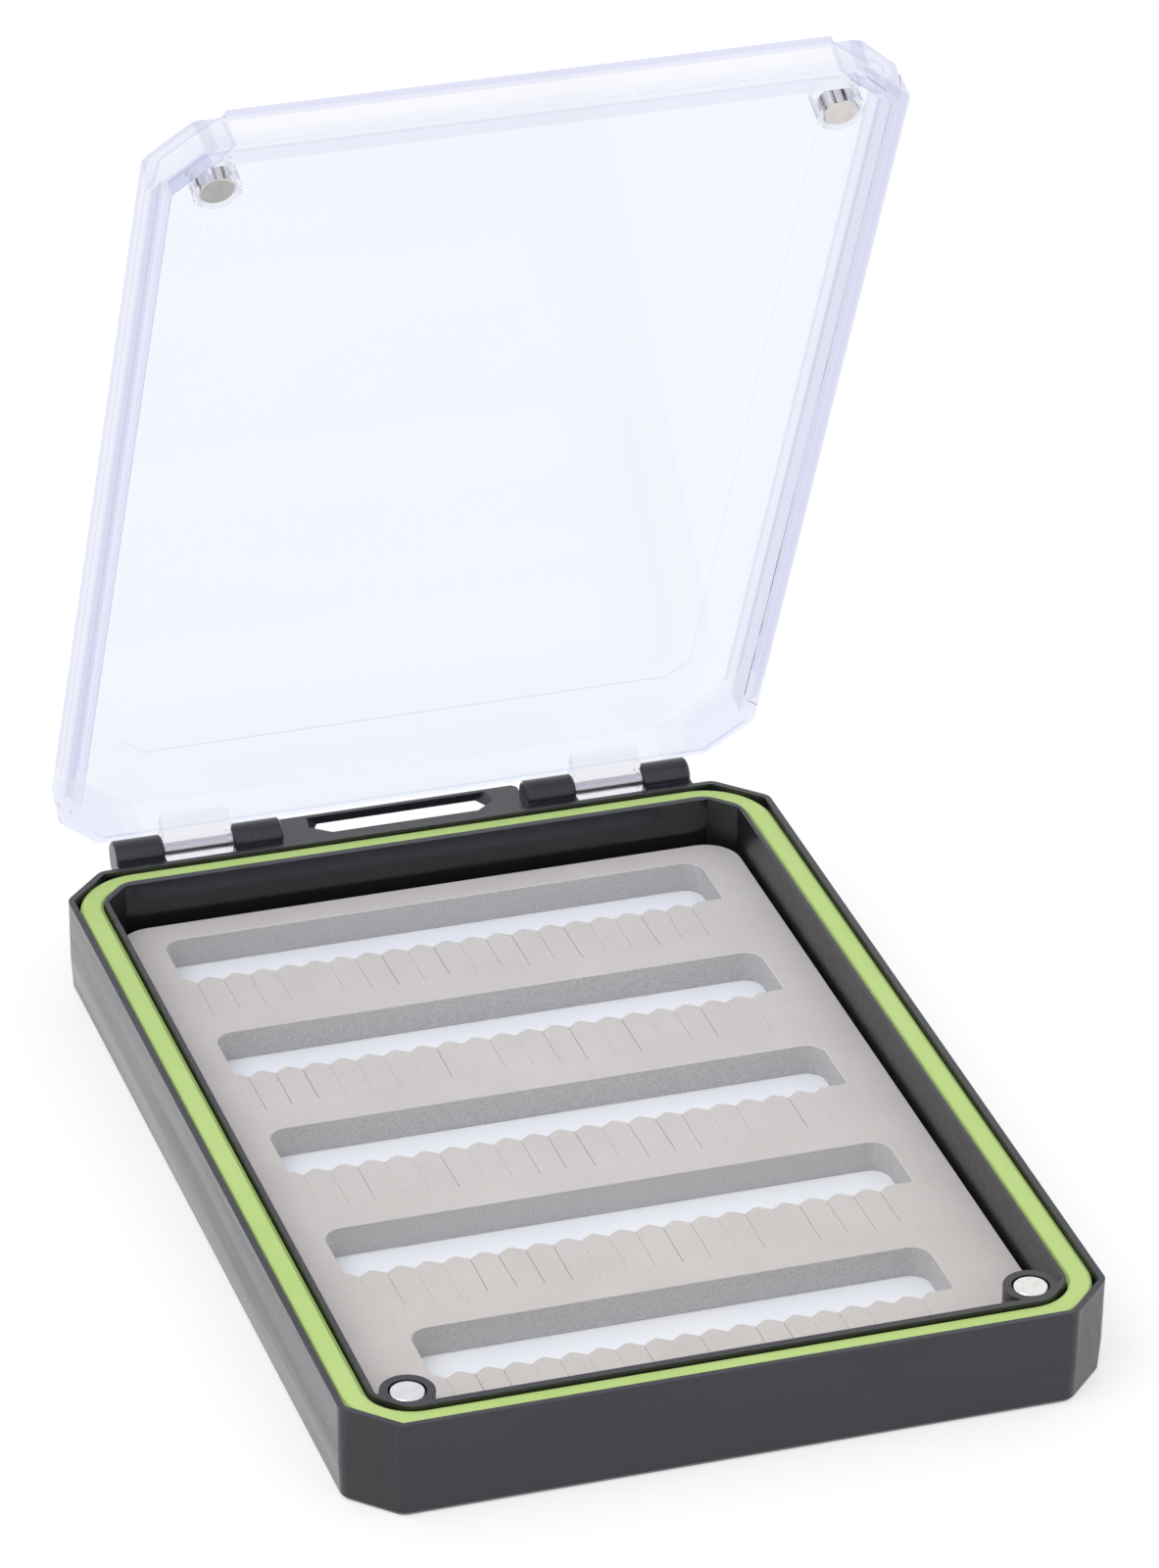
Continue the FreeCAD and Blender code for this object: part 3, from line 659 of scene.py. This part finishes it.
def add_foam(material):
    """Foam insert with rounded edges, scalloped slots and slits."""
    low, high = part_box("foam_insert")
    chance = random.Random(FOAM_SEED)
    outlines = [foam_outline()] + [slot_points(index, chance) for index in range(SLOT_COUNT)]
    curve = flat_curve("foam", outlines)
    curve.extrude = (high.z - low.z) / 2 - FOAM_EDGE_ROUND
    curve.bevel_depth = FOAM_EDGE_ROUND
    curve.bevel_resolution = FOAM_EDGE_STEPS
    foam = mesh_from_curve("foam_sheet", curve)
    foam.data.transform(Matrix.Translation((0, 0, (high.z + low.z) / 2)))
    foam.data.materials.clear()
    foam.data.materials.append(material)
    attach(foam, "base")
    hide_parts("foam_insert")


def ring_path(across, along, radius):
    """Points of a rounded rectangle with their outward directions."""
    path = []
    corners = ((1, 1, 0), (-1, 1, 90), (-1, -1, 180), (1, -1, 270))
    for side_x, side_y, start in corners:
        centre = Vector((side_x * (across - radius), side_y * (along - radius)))
        for step in range(SEAL_CORNER_STEPS + 1):
            angle = math.radians(start + 90 * step / SEAL_CORNER_STEPS)
            outward = Vector((math.cos(angle), math.sin(angle)))
            path.append((centre + outward * radius, outward))
    return path


def seal_section(height, inner, outer):
    """Section of the seal with its shoulders: (across from the middle, height) pairs."""
    half = SEAL_WIDTH / 2
    shoulder = height - SEAL_SHOULDER_DROP
    foot = shoulder - SEAL_SHOULDER_HEIGHT
    section = [(-half - inner, foot), (-half - inner, SEAL_SOLE_ROUND), (SEAL_SOLE_ROUND - half - inner, 0)]
    section += [(half + outer - SEAL_SOLE_ROUND, 0), (half + outer, SEAL_SOLE_ROUND), (half + outer, foot)]
    section += [(half + outer / 2, shoulder)]
    side = half - SEAL_TOP_ROUND
    rise = height - SEAL_TOP_ROUND
    section += arc_points((side, rise), SEAL_TOP_ROUND, 0, 90, SEAL_TOP_STEPS)
    section += arc_points((-side, rise), SEAL_TOP_ROUND, 90, 180, SEAL_TOP_STEPS)
    section += [(-half - inner / 2, shoulder)]
    return section


def add_seal(material):
    """Seal ring with a softly rounded top and, where the channel is wider, low shoulders."""
    low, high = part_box("seal_gasket")
    height = high.z - low.z
    middle = SEAL_WIDTH / 2
    path = ring_path(high.x - middle, high.y - middle, SEAL_CORNER_RADIUS - middle)
    vertices = []
    for point, outward in path:
        to_side = outward.x ** SEAL_SHOULDER_FADE
        section = seal_section(height, SEAL_INNER_SHOULDER * to_side, SEAL_OUTER_SHOULDER * to_side)
        for across, rise in section:
            place = point + outward * across
            vertices.append((place.x, place.y, low.z + rise))
    count = len(section)
    faces = []
    for step in range(len(path)):
        following = (step + 1) % len(path)
        for index in range(count):
            beside = (index + 1) % count
            faces.append((step * count + index, step * count + beside,
                          following * count + beside, following * count + index))
    mesh = bpy.data.meshes.new("seal_ring")
    mesh.from_pydata(vertices, [], faces)
    mesh.materials.append(material)
    mesh.shade_smooth()
    seal = bpy.data.objects.new("seal_ring", mesh)
    bpy.context.scene.collection.objects.link(seal)
    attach(seal, "base")
    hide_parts("seal_gasket")


def seen_directly(nodes):
    """1 for rays from the camera, in reflections and through clear pieces, 0 for light on surfaces."""
    path = nodes.add("ShaderNodeLightPath")
    seen = nodes.math("MAXIMUM", path.outputs["Is Camera Ray"], path.outputs["Is Glossy Ray"])
    return nodes.math("MAXIMUM", seen, path.outputs["Is Transmission Ray"])


def add_floor():
    """Plain white floor that keeps a light shadow of the object."""
    half = FLOOR_SIZE / 2
    mesh = bpy.data.meshes.new("floor")
    corners = [(-half, -half, -FLOOR_DROP), (half, -half, -FLOOR_DROP),
               (half, half, -FLOOR_DROP), (-half, half, -FLOOR_DROP)]
    mesh.from_pydata(corners, [], [(0, 1, 2, 3)])
    floor = bpy.data.objects.new("floor", mesh)
    bpy.context.scene.collection.objects.link(floor)
    material, nodes, shader, place = new_material("floor_white", FLOOR_SHADER)
    glow = nodes.add("ShaderNodeEmission")
    glow.inputs["Strength"].default_value = FLOOR_WHITE
    blend = nodes.add("ShaderNodeMixShader")
    nodes.link(nodes.math("MULTIPLY", seen_directly(nodes), FLOOR_GLOW_SHARE), blend.inputs[0])
    nodes.link(shader.outputs[0], blend.inputs[1])
    nodes.link(glow.outputs[0], blend.inputs[2])
    nodes.link(blend.outputs[0], material.node_tree.nodes["Material Output"].inputs["Surface"])
    mesh.materials.append(material)


def set_world():
    """White surroundings; the light they give to matt surfaces is held a little lower."""
    world = bpy.data.worlds.new("studio")
    bpy.context.scene.world = world
    world.use_nodes = True
    nodes = Nodes(world.node_tree)
    background = world.node_tree.nodes["Background"]
    background.inputs["Color"].default_value = WORLD_COLOUR
    extra = nodes.math("MULTIPLY", seen_directly(nodes), 1.0 - WORLD_DIFFUSE)
    nodes.link(nodes.math("ADD", extra, WORLD_DIFFUSE), background.inputs["Strength"])


bpy.context.scene.view_settings.view_transform = "Standard"
add_camera()
add_lamp()
set_world()
add_floor()
magnet_look = magnet_material()
lid_magnet_look = lid_magnet_material()
pin_look = pin_material()
dress("base_tray", tray_material())
dress("foam_backing_sheet", backing_material())
dress("lid_shell", lid_material())
for side in ("left", "right"):
    dress("base_magnet_" + side, magnet_look)
    dress("lid_magnet_" + side, lid_magnet_look)
    dress("hinge_pin_" + side, pin_look)
add_foam(foam_material())
add_seal(seal_material())
